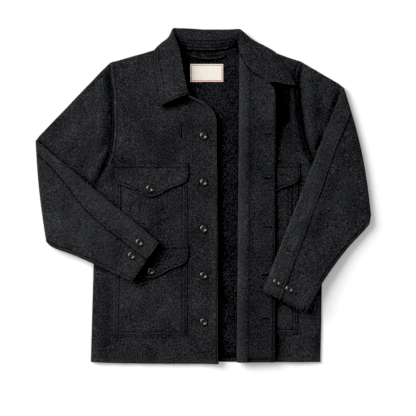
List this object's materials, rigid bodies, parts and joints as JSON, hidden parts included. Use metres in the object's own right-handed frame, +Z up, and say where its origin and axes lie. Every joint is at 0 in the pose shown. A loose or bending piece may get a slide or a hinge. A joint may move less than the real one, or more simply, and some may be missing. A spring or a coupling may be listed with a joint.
{
  "type": "mackinaw jacket",
  "caption": "Hip-length mackinaw jacket in dark heathered wool, laid flat on its back, one front turned back, sleeves folded at the elbow, with flap pockets and an open collar.",
  "frame": {"origin": "under the middle of the jacket's box, on the surface that it lies on", "axes": "+Z up from the surface, +Y from the hem towards the collar, +X towards the wearer's left side"},
  "size_m": [0.8124, 0.8128, 0.041],
  "materials": {
    "wool": "milled wool, charcoal heather, soft short nap",
    "label": "woven satin, cream, plain",
    "button": "polished black horn look"
  },
  "bodies": {
    "root": {"back": "wool", "front_right": "wool", "front_left": "wool", "facing_left": "wool", "collar": "wool", "sleeve_right_top": "wool", "sleeve_right_under": "wool", "sleeve_left_top": "wool", "sleeve_left_under": "wool", "pocket_right": "wool", "pocket_left": "wool", "flap_right_upper": "wool", "flap_right_lower": "wool", "flap_left_upper": "wool", "flap_left_lower": "wool", "hanger_loop": "wool", "label": "label", "button_front_1": "button", "button_front_2": "button", "button_front_3": "button", "button_front_4": "button", "button_front_5": "button", "button_flap_upper": "button", "button_flap_lower": "button", "button_cuff_right_1": "button", "button_cuff_right_2": "button", "button_cuff_left_1": "button", "button_cuff_left_2": "button"}
  },
  "joints": []
}
